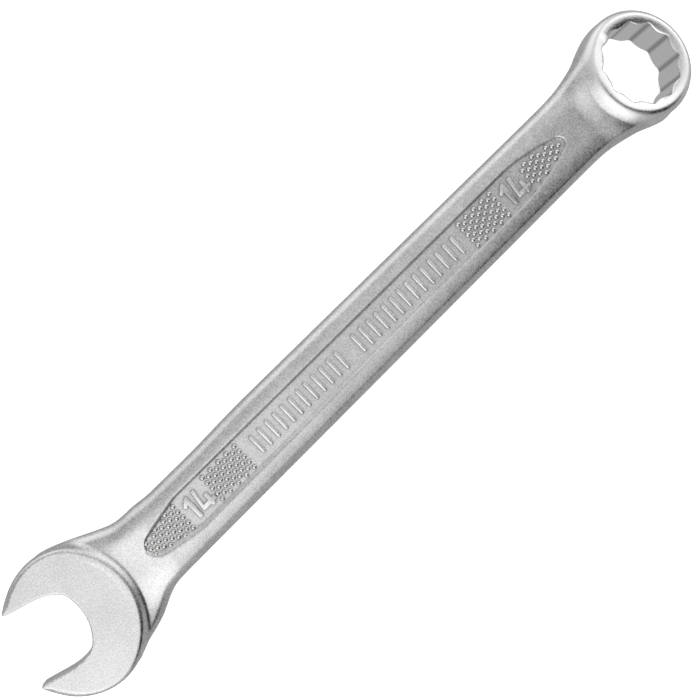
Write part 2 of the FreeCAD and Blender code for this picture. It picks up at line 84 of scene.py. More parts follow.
def soft_ramp(value, width):
    """Nought below zero and the value above it, with a bend of that width."""
    return width * np.logaddexp(0, value / width)


half_gap = 7.05
head_x, head_y, head_radius = -74.1, 0.9, 14.87
head_half = 3.14
jaw_angle = math.radians(16)
throat_offset, throat_radius, throat_corner = 4.9, 9.7, 2.5
flank_along, flank_across, flank_radius, flank_blend = -6.25, -3.2, 18.1, 3.0


def in_head(x, y):
    """Places along the jaws' opening and across it, from the head's centre."""
    dx, dy = x - head_x, y - head_y
    along = dy * math.sin(jaw_angle) - dx * math.cos(jaw_angle)
    across = dx * math.sin(jaw_angle) + dy * math.cos(jaw_angle)
    return along, across


def jaw_gap(along, across):
    """The throat between the jaws: parallel flats and a round root with eased corners."""
    root = np.hypot(np.minimum(along - throat_offset, 0), across) - throat_radius
    return round_max(np.abs(across) - half_gap, root, throat_corner)


def head_outline(x, y):
    """The head seen square on, before the jaw is cut: a disc with two flatter flanks."""
    along, across = in_head(x, y)
    outline = np.hypot(along, across) - head_radius
    for side in (1, -1):
        flank = np.hypot(along - flank_along, across * side - flank_across) - flank_radius
        outline = round_max(outline, flank, flank_blend)
    return outline


def head_field(x, y, z):
    """The head: crisp where the jaws are machined, softer round its forged rim."""
    draft, nose = 0.08, 0.75
    crisp, softening, softening_run = 0.22, 0.75, (0.2, 1.8)
    gap = jaw_gap(*in_head(x, y))
    outline = round_max(head_outline(x, y) + draft * np.abs(z), -gap, nose)
    edge = crisp + softening * ease(*softening_run, gap)
    return round_max(outline, np.abs(z) - head_half, edge)


shank_half_length = 54.5
shank_half_open, shank_half_ring = 3.3, 3.08
width_open, width_ring = 7.7, 7.15
ring_radius, ring_half, ring_tilt = 10.8, 4.6, math.radians(15)


def along_shank(x):
    """0 at the shank's open end and 1 at its ring end."""
    return np.clip(x / (2 * shank_half_length) + 0.5, 0, 1)


def bar_width(x, y):
    """Half the bar's width, flared to the head and the ring and drawn in a little on one
    side behind the head, with the cosine of its sides' lean."""
    waist, waist_start, waist_end = 0.4, (-51, -46), (-22, -38)
    open_flare, open_flare_x, open_bend = 0.505, -54.75, 0.9
    upper_flare, lower_flare, ring_flare_x, ring_bend = 0.22, 0.27, 58.0, 1.6
    open_lean_run, ring_lean_run = (-53, -56), (55, 60)
    width = width_open + (width_ring - width_open) * along_shank(x)
    width = width - waist * ease(*waist_start, x) * ease(*waist_end, x) * (y > 0)
    flare = np.where(y > 0, upper_flare, lower_flare)
    width = width + open_flare * soft_ramp(open_flare_x - x, open_bend)
    width = width + flare * soft_ramp(x - ring_flare_x, ring_bend)
    slope = np.hypot(open_flare * ease(*open_lean_run, x), flare * ease(*ring_lean_run, x))
    return width, 1 / np.sqrt(1 + slope**2)


def bar_height(x, y):
    """Half the bar's thickness: it swells towards the ring and dips beside the head."""
    swell_low, swell_high, swell_across, swell_run = 0.75, 1.5, (-4.5, 3.5), (57.6, 65)
    dip, dip_aside, aside_run, dip_run = 0.75, 0.5, (3.0, 9.5), (23.8, 15.4)
    height = shank_half_open + (shank_half_ring - shank_half_open) * along_shank(x)
    swell = swell_low + (swell_high - swell_low) * ease(*swell_across, y)
    height = height + swell * ease(*swell_run, x)
    aside = ease(*aside_run, np.abs(y - head_y))
    from_head = np.hypot(x - head_x, y - head_y)
    return height - (dip + dip_aside * aside) * ease(*dip_run, from_head)


def head_fin(x, y):
    """The tapered fins that the bar runs out into along the head's rim."""
    fin_start, fin_depth = -68.4, 0.3
    growth, late_growth = 0.135, 0.0012
    along_fin = np.maximum(x - fin_start, 0)
    reach = growth * along_fin**1.5 + late_growth * along_fin**3
    fin = head_outline(x, y) + fin_depth - reach
    return fin, fin_start - x


def bar_field(x, y, z):
    """The shank with the two necks: a bar whose width, thickness and level follow x. Its
    faces are flat beside the panel and then fall away towards the parting line."""
    drop_start, drop_bend = 60.84, 1.5
    face_margin, face_bend, face_slope, face_curve = 3.35, 0.45, 0.14, 0.055
    side_draft, side_round = 0.05, 1.5
    fin_round, fin_end_round = 0.9, 0.5
    lap_in_head, lap_in_ring, lap_round = 1.2, 2.0, 1.0
    width, lean = bar_width(x, y)
    above = np.abs(z + math.tan(ring_tilt) * soft_ramp(x - drop_start, drop_bend))
    shoulder = soft_ramp(np.abs(y) - (width - face_margin), face_bend)
    fall = face_slope * shoulder + face_curve * shoulder * shoulder
    top = above - bar_height(x, y) + fall
    side = (np.abs(y) - width) * lean + side_draft * above
    bar = round_max(side, top, side_round)
    fin, fin_end = head_fin(x, y)
    bar = round_max(bar, fin, fin_round)
    bar = round_max(bar, fin_end, fin_end_round)
    bar = np.maximum(bar, -head_outline(x, y) - lap_in_head)
    radial, _ = in_ring(x, z)
    return round_max(bar, radial + lap_in_ring, lap_round)


panel_floor, panel_half, panel_middle = 2.75, 3.3, 0.15
panel_start, panel_end = -53.6, 52.3
panel_tip_start, panel_tip_run = 38.5, 77


def panel_field(x, y, z):
    """The recessed panel on each face: a flat floor and sloping walls, blunt at the open
    end and drawn out to a rounded point at the ring end."""
    blunt_start, blunt_taper, blunt_cosine = -43.6, 0.2, 0.98
    blunt_round, tip_round = 1.7, 0.9
    steep_run, easy_run, run_change = 0.8, 1.9, (-30, 25)
    facing = np.where(z > 0, y, -y)
    above = np.abs(z) - panel_floor
    reach = np.abs(facing - panel_middle)
    blunting = blunt_taper * np.maximum(blunt_start - x, 0)
    taper_open = (reach - panel_half + blunting) * blunt_cosine
    tip = np.maximum(x - panel_tip_start, 0)
    taper_ring = reach - panel_half + tip * tip / panel_tip_run
    outline = np.maximum(taper_open, taper_ring)
    outline = round_max(outline, panel_start - x, blunt_round)
    outline = round_max(outline, x - panel_end, tip_round)
    run = np.where(facing > panel_middle, steep_run, easy_run - ease(*run_change, x))
    wall = (outline - run * above) / np.sqrt(1 + run * run)
    return np.maximum(wall, -above)


def in_ring(x, z):
    """Places along the ring's own radius in the shank's plane, and along its axis."""
    dx, dz = x - ring_x, z + ring_drop
    radial = dx * math.cos(ring_tilt) - dz * math.sin(ring_tilt)
    axial = dx * math.sin(ring_tilt) + dz * math.cos(ring_tilt)
    return radial, axial


def ring_field(x, y, z):
    """The ring: a short drafted cylinder with a crowned, well rounded rim."""
    draft_above, draft_below, rim_round = 0.035, 0.2, 1.4
    crown_drop, crown_curve, crown_radius = 0.04, 0.14, 9.25
    radial, axial = in_ring(x, z)
    from_axis = np.hypot(radial, y)
    draft = np.where(axial > 0, draft_above, draft_below)
    outer = from_axis - ring_radius + draft * np.abs(axial)
    crown = crown_drop + crown_curve * (from_axis - crown_radius) ** 2
    return round_max(outer, np.abs(axial) - ring_half + crown, rim_round)


def bore_field(x, y, z):
    """The twelve-point bore: two hexagons a twelfth of a turn apart, with lead-in cones."""
    corner_round, point_round = 0.3, 0.4
    mouth_radius, cone_slope, cone_cosine = 7.62, 0.6, 0.86
    radial, axial = in_ring(x, z)
    hexagons = []
    for turn in (0, 30):
        flats = []
        for flat in (30, 90, 150):
            angle = math.radians(flat + turn)
            flats.append(np.abs(radial * math.cos(angle) + y * math.sin(angle)) - half_gap)
        hexagon = round_max(flats[0], flats[1], corner_round)
        hexagons.append(round_max(hexagon, flats[2], corner_round))
    bore = round_min(*hexagons, point_round)
    cone = np.hypot(radial, y) - mouth_radius - cone_slope * (np.abs(axial) - ring_half)
    return np.minimum(bore, cone * cone_cosine)


def forging_field(x, y, z):
    """The whole forging, with the fillets that the die leaves between its parts."""
    panel_edge, ring_fillet, bore_edge, head_fillet = 0.12, 1.4, 0.25, 1.0
    bar = round_max(bar_field(x, y, z), -panel_field(x, y, z), panel_edge)
    steel = round_min(bar, ring_field(x, y, z), ring_fillet)
    steel = round_max(steel, -bore_field(x, y, z), bore_edge)
    return round_min(steel, head_field(x, y, z), head_fillet)


def draw_surface(field, xs, ys, zs):
    """Draws the field's zero surface over a grid, one vertex in each cell that it passes
    through, placed where the planes of its crossings meet, so that edges stay crisp."""
    axes = (xs, ys, zs)
    values = np.concatenate([
        field(slab[:, None, None], ys[None, :, None], zs[None, None, :])
        for slab in np.array_split(xs, 24)
    ])
    cells = np.array([len(a) - 1 for a in axes])
    strides = np.array([cells[1] * cells[2], cells[2], 1])

    def place(index):
        return [a[i] for a, i in zip(axes, index)]

    corners, points, quads = [], [], []
    for axis in range(3):
        near = [slice(None)] * 3
        far = [slice(None)] * 3
        near[axis], far[axis] = slice(None, -1), slice(1, None)
        before, after = values[tuple(near)], values[tuple(far)]
        index = np.array(np.nonzero((before < 0) != (after < 0)))
        low = np.stack(place(index))
        step = np.zeros((3, 1), int)
        step[axis] = 1
        high = np.stack(place(index + step))
        f_low = before[tuple(index)]
        f_high = after[tuple(index)]
        inside_first = f_low < 0
        for _ in range(4):
            middle = low + (high - low) * np.clip(f_low / (f_low - f_high), 0.05, 0.95)
            f_middle = field(*middle)
            left = (f_middle < 0) == inside_first
            low, f_low = np.where(left, middle, low), np.where(left, f_middle, f_low)
            high, f_high = np.where(left, high, middle), np.where(left, f_high, f_middle)
        crossing = low + (high - low) * f_low / (f_low - f_high)
        u, v = (axis + 1) % 3, (axis + 2) % 3
        around = []
        for du, dv in ((0, 0), (-1, 0), (-1, -1), (0, -1)):
            cell = index.copy()
            cell[u] += du
            cell[v] += dv
            around.append(cell.T @ strides)
        around = np.array(around)
        quads.append(np.where(inside_first, around, around[::-1]))
        corners.append(around)
        points.append(crossing)
    crossing = np.concatenate(points, axis=1)
    reach = 0.004
    slope = []
    for axis in range(3):
        shift = np.zeros((3, 1))
        shift[axis] = reach
        slope.append(field(*(crossing + shift)) - field(*(crossing - shift)))
    normal = np.array(slope)
    normal /= np.linalg.norm(normal, axis=0)
    cell_of = np.concatenate(corners, axis=1)
    used, slot = np.unique(cell_of, return_inverse=True)
    slot = slot.reshape(cell_of.shape)
    count = np.zeros(len(used))
    mean = np.zeros((len(used), 3))
    for ring in slot:
        np.add.at(count, ring, 1)
        np.add.at(mean, ring, crossing.T)
    mean /= count[:, None]
    matrix = np.zeros((len(used), 3, 3))
    target = np.zeros((len(used), 3))
    outer = normal.T[:, :, None] * normal.T[:, None, :]
    for ring in slot:
        offset = np.einsum("ij,ij->i", normal.T, crossing.T - mean[ring])
        np.add.at(matrix, ring, outer)
        np.add.at(target, ring, normal.T * offset[:, None])
    settle = 0.02
    matrix += np.eye(3) * settle * count[:, None, None]
    shift = np.linalg.solve(matrix, target[:, :, None])[:, :, 0]
    limit = np.array([np.diff(a).max() for a in axes])
    vertices = mean + np.clip(shift, -limit, limit)
    faces = np.searchsorted(used, np.concatenate(quads, axis=1)).T
    return vertices, faces


def spaced(*stops):
    """Grid lines through the stops, each given with the spacing up to the next one."""
    lines = []
    for (start, spacing), (end, _) in zip(stops, stops[1:]):
        lines.append(np.linspace(start, end, round((end - start) / spacing), endpoint=False))
    return np.concatenate(lines + [[stops[-1][0]]])


def surface_normals(field, points):
    """The outward normals of a field at a row of points."""
    reach = 0.01
    slopes = []
    for axis in range(3):
        shift = np.zeros((3, 1))
        shift[axis] = reach
        slopes.append(field(*(points.T + shift)) - field(*(points.T - shift)))
    normals = np.array(slopes).T
    return normals / np.linalg.norm(normals, axis=1)[:, None]


def between_planes(whole, start, end):
    """A copy of the mesh between two places along the shank, closed with flat ends."""
    part = bmesh.new()
    part.from_mesh(whole)
    for along, outwards in ((start, -1), (end, 1)):
        if along is None:
            continue
        everything = part.verts[:] + part.edges[:] + part.faces[:]
        bmesh.ops.bisect_plane(
            part, geom=everything, dist=1e-5, plane_co=(along, 0, 0),
            plane_no=(outwards, 0, 0), clear_outer=True,
        )
    rim = [edge for edge in part.edges if edge.is_boundary]
    caps = bmesh.ops.holes_fill(part, edges=rim, sides=0)["faces"]
    bmesh.ops.recalc_face_normals(part, faces=part.faces[:])
    part.faces.index_update()
    cap_faces = {face.index for face in caps}
    mesh = bpy.data.meshes.new("forging_region")
    part.to_mesh(mesh)
    part.free()
    return mesh, cap_faces


class Wire:
    """A shader value that ordinary arithmetic can be done on."""

    def __init__(self, shader, socket):
        self.shader, self.socket = shader, socket

    def maths(self, operation, *values):
        return self.shader.node("ShaderNodeMath", {"operation": operation}, dict(enumerate(values)))

    def __add__(self, other):
        return self.maths("ADD", self, other)

    def __radd__(self, other):
        return self.maths("ADD", other, self)

    def __sub__(self, other):
        return self.maths("SUBTRACT", self, other)

    def __rsub__(self, other):
        return self.maths("SUBTRACT", other, self)

    def __mul__(self, other):
        return self.maths("MULTIPLY", self, other)

    def __pow__(self, other):
        return self.maths("POWER", self, other)

    def __abs__(self):
        return self.maths("ABSOLUTE", self)

    def eased(self, low, high):
        """Goes smoothly from 0 where this value is low to 1 where it is high."""
        return self.shader.node(
            "ShaderNodeMapRange", {"interpolation_type": "SMOOTHSTEP"},
            {"Value": self, "From Min": low, "From Max": high},
        )


class Shader:
    """The node tree of a material or a world, whose nodes are made by one method."""

    def __init__(self, owner):
        owner.use_nodes = True
        self.owner, self.tree = owner, owner.node_tree

    def feed(self, slot, value):
        if isinstance(value, Wire):
            self.tree.links.new(value.socket, slot)
        else:
            slot.default_value = value

    def node(self, kind, settings, inputs, output=0):
        node = self.tree.nodes.new(kind)
        for key, value in settings.items():
            setattr(node, key, value)
        for key, value in inputs.items():
            self.feed(node.inputs[key], value)
        return Wire(self, node.outputs[output])

    def finish(self, name, inputs):
        """Feeds the tree's own last shader node."""
        for key, value in inputs.items():
            self.feed(self.tree.nodes[name].inputs[key], value)

    def mixed(self, share, first, second):
        """A colour that goes from the first to the second as the share goes from 0 to 1."""
        factor, first_colour, second_colour, mixed_colour = 0, 6, 7, 2
        return self.node(
            "ShaderNodeMix", {"data_type": "RGBA"},
            {factor: share, first_colour: first, second_colour: second}, mixed_colour,
        )

    def noise(self, place, scale, detail):
        return self.node(
            "ShaderNodeTexNoise", {}, {"Vector": place, "Scale": scale, "Detail": detail}
        )

    def open_sky(self, distance):
        """How much of the room a point sees past what stands within that distance of it."""
        return self.node(
            "ShaderNodeAmbientOcclusion", {"samples": 6}, {"Distance": distance}, "AO"
        )

    def tool_place(self):
        """The place on the piece in the tool's own frame, in millimetres."""
        here = self.node("ShaderNodeTexCoord", {}, {}, "Object")
        return self.node("ShaderNodeMapping", {"vector_type": "TEXTURE"}, {
            "Vector": here, "Location": tool_origin,
            "Rotation": tool_turn.to_euler(), "Scale": (0.001, 0.001, 0.001),
        })


def satin_chrome(name, bright, dark, sheen):
    """Nickel and chrome plate over vibratory-finished steel: a pearly satin with a fine grain,
    smoother in the bore, where nuts rub it. Shade is painted into hollows and crevices, the crevices
    also rougher, and as a dark band round the bore's mouth; the ring's face is painted lighter with
    fainter grain, a painted highlight, and the bore's walls are painted near white, painted light."""
    speck_colour, bore_light_colour, bore_mouth_shade_colour = (0.98, 0.98, 0.97, 1), (1, 1, 1, 1), (0.24, 0.245, 0.26, 1)
    hollow_shade_colour, crevice_shade_colour = (0.33, 0.325, 0.32, 1), (0.22, 0.215, 0.21, 1)
    near_sky, wide_sky, grain_depth = 0.0009, 0.003, 0.00004
    shader = Shader(bpy.data.materials.new(name))
    place = shader.tool_place()
    x, y, z = (
        shader.node("ShaderNodeSeparateXYZ", {}, {"Vector": place}, letter) for letter in "XYZ"
    )
    cloud = shader.noise(place, 0.12, 3.0)
    mottle = shader.noise(place, 0.8, 4.0)
    grain = shader.noise(place, 3.2, 2.0)
    speck = shader.noise(place, 4.2, 1.0)
    cosine, sine = math.cos(ring_tilt), math.sin(ring_tilt)
    radial = (x - ring_x) * cosine - (z + ring_drop) * sine
    axial = (x - ring_x) * sine + (z + ring_drop) * cosine
    from_axis = (radial * radial + y * y) ** 0.5
    bore = (1 - from_axis.eased(8.2, 8.6)) * (1 - abs(axial).eased(4.0, 4.5))
    # Painted shade: a dark band round the bore's mouth, 7.75 to 8.1 mm off the ring's axis.
    bore_mouth_shade = from_axis.eased(7.75, 8.1) * bore
    # Painted highlight: the ring's face round the bore is painted lighter, with fainter grain and
    # specks.
    ring_face_highlight = (1 - from_axis.eased(10.4, 11.4)) * (1 - bore)
    # Painted shade: darker and rougher where the point sees little of the room within 0.9 mm.
    crevice_shade = 1 - shader.open_sky(near_sky).eased(0.35, 0.95)
    # Painted shade: darker where the point sees little of the room within 3 mm, outside the bore.
    hollow_shade = (1 - shader.open_sky(wide_sky).eased(0.66, 0.99)) * (1 - bore)
    shade = (cloud - 0.5) * 0.5 + (mottle - 0.5) * 0.5 + 0.5
    shade = shade + (grain - 0.5) * (1.5 - ring_face_highlight) - hollow_shade * 0.25 + ring_face_highlight * 0.25
    plate = shader.mixed(shade.eased(0.15, 0.85), dark, bright)
    plate = shader.mixed(speck.eased(0.62, 0.74) * (0.5 - ring_face_highlight * 0.4), plate, speck_colour)
    # Painted light: the bore's walls are painted near white, lighter than the plate round them.
    plate = shader.mixed(bore * 0.9, plate, bore_light_colour)
    plate = shader.mixed(bore_mouth_shade * 0.7, plate, bore_mouth_shade_colour)
    plate = shader.mixed(hollow_shade * 0.45, plate, hollow_shade_colour)
    plate = shader.mixed(crevice_shade * 0.55, plate, crevice_shade_colour)
    roughness = sheen + (mottle - 0.5) * 0.14 + (grain - 0.5) * 0.2 - bore * 0.1 + crevice_shade * 0.1
    bump = shader.node("ShaderNodeBump", {}, {
        "Strength": 0.6, "Distance": grain_depth, "Height": grain * 0.7 + speck * 0.3,
    })
    shader.finish("Principled BSDF", {
        "Base Color": plate, "Metallic": 1.0, "Roughness": roughness, "Normal": bump,
    })
    return shader.owner


body_chrome = satin_chrome("satin_chrome", (0.93, 0.93, 0.925, 1), (0.66, 0.66, 0.66, 1), 0.3)

# Its five regions, from the jaws to the ring, are cut from one surface so that their skin
# runs on unbroken. Each takes its normals from the field, and its cut ends are flat.
step = 0.25
grid_x = spaced((-90.07, step), (-52.03, 1.2 * step), (50.0, step), (86.0, 0))
grid_y = spaced((-15.51, step), (-8.19, 0.9 * step), (8.1, step), (15.5, 0))
grid_z = spaced((-11.51, step), (4.6, 0))
vertices, faces = draw_surface(forging_field, grid_x, grid_y, grid_z)
forging = bpy.data.meshes.new("forging")
forging.from_pydata(vertices.tolist(), [], faces.tolist())
forging.update()
head_end, ring_start = -59.6, 61.0
regions = {
    "open_end_head": (None, head_end),
    "open_end_neck": (head_end, -shank_half_length),
    "shank": (-shank_half_length, shank_half_length),
    "box_end_neck": (shank_half_length, ring_start),
    "box_end_ring": (ring_start, None),
}
for node, (start, end) in regions.items():
    mesh, cap_faces = between_planes(forging, start, end)
    places = np.empty(len(mesh.vertices) * 3)
    mesh.vertices.foreach_get("co", places)
    normals = surface_normals(forging_field, places.reshape(-1, 3)) @ np.array(tool_turn).T
    mesh.transform(tool_to_row)
    mesh.shade_smooth()
    corner_normals = []
    for polygon in mesh.polygons:
        flat_end = polygon.index in cap_faces
        for vertex in polygon.vertices:
            corner_normals.append(polygon.normal if flat_end else normals[vertex])
    mesh.normals_split_custom_set(corner_normals)
    mesh.materials.append(body_chrome)
    piece = bpy.data.objects.new(node + "_steel", mesh)
    bpy.context.scene.collection.objects.link(piece)
    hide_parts(node)
    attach(piece, "root")
bpy.data.meshes.remove(forging)

# The studs: on each face two fields of round studs at either end of the panel, pressed by
# the die with the panel's floor, of the same steel, and standing a third of a millimetre up.
relief_height, relief_root = 0.25, 0.2
# The raised relief is painted in a lighter copy of the body's chrome: a painted highlight.
relief_chrome = satin_chrome(
    "relief_chrome", (0.97, 0.97, 0.965, 1), (0.75, 0.75, 0.75, 1), 0.27
)
on_face = {
    "front": tool_to_row,
    "rear": tool_to_row @ Matrix.Rotation(math.pi, 4, "X"),
}


def new_tree(name, inputs):
    """An empty geometry node group with named inputs, and its input and output nodes."""
    tree = bpy.data.node_groups.new(name, "GeometryNodeTree")
    tree.interface.new_socket("Geometry", in_out="INPUT", socket_type="NodeSocketGeometry")
    for label, kind in inputs:
        tree.interface.new_socket(label, in_out="INPUT", socket_type=kind)
    tree.interface.new_socket("Geometry", in_out="OUTPUT", socket_type="NodeSocketGeometry")
    given = tree.nodes.new("NodeGroupInput")
    result = tree.nodes.new("NodeGroupOutput")
    return tree, given, result


def grow(tree, kind, inputs=(), settings=()):
    """A node with its inputs, which are values or other nodes' outputs, and its settings."""
    node = tree.nodes.new(kind)
    for key, value in dict(settings).items():
        setattr(node, key, value)
    for key, value in dict(inputs).items():
        if isinstance(value, bpy.types.NodeSocket):
            tree.links.new(value, node.inputs[key])
        else:
            node.inputs[key].default_value = value
    return node


def number(tree, operation, *values):
    """The result of one sum on numbers."""
    settings = {"operation": operation}
    return grow(tree, "ShaderNodeMath", dict(enumerate(values)), settings).outputs[0]


def repeated(name, pattern, mesh, values, side):
    """The mesh repeated by a node group, as one finished mesh on the front or the rear."""
    seed = bpy.data.objects.new(name + "_one", mesh.copy())
    bpy.context.scene.collection.objects.link(seed)
    modifier = seed.modifiers.new("pattern", "NODES")
    modifier.node_group = pattern
    sockets = {
        item.name: item.identifier for item in pattern.interface.items_tree
        if item.item_type == "SOCKET" and item.in_out == "INPUT"
    }
    for label, value in values.items():
        modifier[sockets[label]] = value
    evaluated = seed.evaluated_get(bpy.context.evaluated_depsgraph_get())
    result = bpy.data.meshes.new_from_object(evaluated)
    bpy.data.objects.remove(seed)
    result.name = name
    result.transform(on_face[side])
    piece = bpy.data.objects.new(name, result)
    bpy.context.scene.collection.objects.link(piece)
    return piece


stud_radius, stud_height, stud_pitch, stud_row_pitch = 0.47, 0.33, 1.0, 1.3
smallest_stud, stud_clearance, stud_swell, panel_skirt = 0.92, 0.1, 0.14, 0.5
stud_from, stud_to = panel_start - panel_skirt, panel_end + panel_skirt
blunt_widening, blunt_room, tip_room = 0.2, 1.75, 3.42
stud_tree, given, result = new_tree("stud_fields", [
    ("Middle", "NodeSocketFloat"), ("Pair Spacing", "NodeSocketFloat"),
    ("End Spacing", "NodeSocketFloat"), ("Column Pitch", "NodeSocketFloat"),
    ("Row Pitch", "NodeSocketFloat"), ("Panel Start", "NodeSocketFloat"),
    ("Panel End", "NodeSocketFloat"), ("Floor", "NodeSocketFloat"),
    ("Seed", "NodeSocketInt"), ("Material", "NodeSocketMaterial"),
])
inputs = given.outputs


def spaced_pair(spacing):
    """Two points on the X axis, that far apart, about the origin."""
    offset = grow(stud_tree, "ShaderNodeCombineXYZ", {"X": spacing})
    back = grow(stud_tree, "ShaderNodeCombineXYZ", {
        "X": number(stud_tree, "MULTIPLY", spacing, -0.5),
    })
    return grow(stud_tree, "GeometryNodeMeshLine", {
        "Count": 2, "Offset": offset.outputs[0], "Start Location": back.outputs[0],
    }).outputs[0]


def stud_grid(columns, rows):
    """Every second column of a field: a grid of points about the origin."""
    wide = number(stud_tree, "MULTIPLY", inputs["Column Pitch"], 2.0 * (columns - 1))
    high = number(stud_tree, "MULTIPLY", inputs["Row Pitch"], rows - 1.0)
    return grow(stud_tree, "GeometryNodeMeshGrid", {
        "Size X": wide, "Size Y": high, "Vertices X": columns, "Vertices Y": rows,
    }).outputs[0]


field_points = grow(stud_tree, "GeometryNodeJoinGeometry")
for columns, rows in ((5, 5), (4, 4)):
    stud_tree.links.new(stud_grid(columns, rows), field_points.inputs[0])
ends = grow(stud_tree, "GeometryNodeInstanceOnPoints", {
    "Points": spaced_pair(inputs["End Spacing"]),
    "Instance": spaced_pair(inputs["Pair Spacing"]),
})
ends = grow(stud_tree, "GeometryNodeRealizeInstances", {"Geometry": ends.outputs[0]})
laid = grow(stud_tree, "GeometryNodeInstanceOnPoints", {
    "Points": ends.outputs[0], "Instance": field_points.outputs[0],
})
laid = grow(stud_tree, "GeometryNodeRealizeInstances", {"Geometry": laid.outputs[0]})
lift = grow(stud_tree, "ShaderNodeCombineXYZ", {"X": inputs["Middle"], "Z": inputs["Floor"]})
laid = grow(stud_tree, "GeometryNodeSetPosition", {
    "Geometry": laid.outputs[0], "Offset": lift.outputs[0],
})
where = grow(stud_tree, "GeometryNodeInputPosition")
parts = grow(stud_tree, "ShaderNodeSeparateXYZ", {"Vector": where.outputs[0]})
from_open = number(stud_tree, "SUBTRACT", parts.outputs["X"], inputs["Panel Start"])
from_ring = number(stud_tree, "SUBTRACT", inputs["Panel End"], parts.outputs["X"])
room_open = number(stud_tree, "MULTIPLY_ADD", from_open, blunt_widening, blunt_room)
past_taper = number(stud_tree, "SUBTRACT", stud_to - panel_tip_start, from_ring)
nearness = number(stud_tree, "MAXIMUM", past_taper, 0.0)
taper = number(stud_tree, "MULTIPLY", nearness, nearness)
room_ring = number(stud_tree, "MULTIPLY_ADD", taper, -1 / panel_tip_run, tip_room)
room = number(stud_tree, "MINIMUM", room_open, room_ring)
across = number(stud_tree, "ABSOLUTE", parts.outputs["Y"])
outer_edge = number(stud_tree, "ADD", across, stud_radius + stud_clearance)
outside = number(stud_tree, "GREATER_THAN", outer_edge, room)
kept = grow(stud_tree, "GeometryNodeDeleteGeometry", {
    "Geometry": laid.outputs[0], "Selection": outside,
}, {"domain": "POINT"})
spread = grow(stud_tree, "FunctionNodeRandomValue", (), {"data_type": "FLOAT"})
for slot in spread.inputs:
    if slot.type == "VALUE" and slot.name == "Min":
        slot.default_value = smallest_stud
    if slot.type == "VALUE" and slot.name == "Max":
        slot.default_value = 1.0
    if slot.name == "Seed":
        stud_tree.links.new(inputs["Seed"], slot)
spread_value = [slot for slot in spread.outputs if slot.type == "VALUE" and slot.enabled][0]
studs = grow(stud_tree, "GeometryNodeInstanceOnPoints", {
    "Points": kept.outputs[0], "Instance": inputs["Geometry"], "Scale": spread_value,
})
studs = grow(stud_tree, "GeometryNodeRealizeInstances", {"Geometry": studs.outputs[0]})
studs = grow(stud_tree, "GeometryNodeSetMaterial", {
    "Geometry": studs.outputs[0], "Material": inputs["Material"],
})
stud_tree.links.new(studs.outputs[0], result.inputs[0])

fields_middle, pair_spacing, end_spacing = -0.95, 15.4, 80.5
stud = bmesh.new()
bmesh.ops.create_uvsphere(stud, u_segments=12, v_segments=8, radius=1.0)
for vertex in stud.verts:
    fullness = 1.0 + stud_swell * (1.0 - abs(vertex.co.z)) ** 0.5 * (vertex.co.z > 0)
    vertex.co.x *= stud_radius * fullness
    vertex.co.y *= stud_radius * fullness
    vertex.co.z *= stud_height if vertex.co.z > 0 else relief_root
stud_mesh = bpy.data.meshes.new("stud")
stud.to_mesh(stud_mesh)
stud.free()
stud_mesh.shade_smooth()
for side in ("front", "rear"):
    piece = repeated(side + "_stud_fields", stud_tree, stud_mesh, {
        "Middle": fields_middle, "Pair Spacing": pair_spacing, "End Spacing": end_spacing,
        "Column Pitch": stud_pitch, "Row Pitch": stud_row_pitch,
        "Panel Start": stud_from, "Panel End": stud_to, "Floor": panel_floor, "Seed": 4,
        "Material": relief_chrome,
    }, side)
    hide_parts(side + "_studs")
    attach(piece, "root")

# The ribs: plain raised bars of the same steel, in two groups along the middle of the
# panel, pressed with its floor and standing a quarter of a millimetre up.
rib_tree, given, result = new_tree("rib_row", [
    ("Start", "NodeSocketFloat"), ("Pitch", "NodeSocketFloat"), ("Count", "NodeSocketInt"),
    ("First Group", "NodeSocketInt"), ("Group Gap", "NodeSocketFloat"),
    ("Floor", "NodeSocketFloat"), ("Material", "NodeSocketMaterial"),
])
inputs = given.outputs
step_x = grow(rib_tree, "ShaderNodeCombineXYZ", {"X": inputs["Pitch"]})
begin = grow(rib_tree, "ShaderNodeCombineXYZ", {"X": inputs["Start"], "Z": inputs["Floor"]})
row = grow(rib_tree, "GeometryNodeMeshLine", {
    "Count": inputs["Count"], "Offset": step_x.outputs[0], "Start Location": begin.outputs[0],
})
index = grow(rib_tree, "GeometryNodeInputIndex")
behind_gap = number(
    rib_tree, "GREATER_THAN", index.outputs[0],
    number(rib_tree, "SUBTRACT", inputs["First Group"], 0.5),
)
jump = grow(rib_tree, "ShaderNodeCombineXYZ", {
    "X": number(rib_tree, "MULTIPLY", behind_gap, inputs["Group Gap"]),
})
row = grow(rib_tree, "GeometryNodeSetPosition", {
    "Geometry": row.outputs[0], "Offset": jump.outputs[0],
})
ribs = grow(rib_tree, "GeometryNodeInstanceOnPoints", {
    "Points": row.outputs[0], "Instance": inputs["Geometry"],
})
ribs = grow(rib_tree, "GeometryNodeRealizeInstances", {"Geometry": ribs.outputs[0]})
ribs = grow(rib_tree, "GeometryNodeSetMaterial", {
    "Geometry": ribs.outputs[0], "Material": inputs["Material"],
})
rib_tree.links.new(ribs.outputs[0], result.inputs[0])

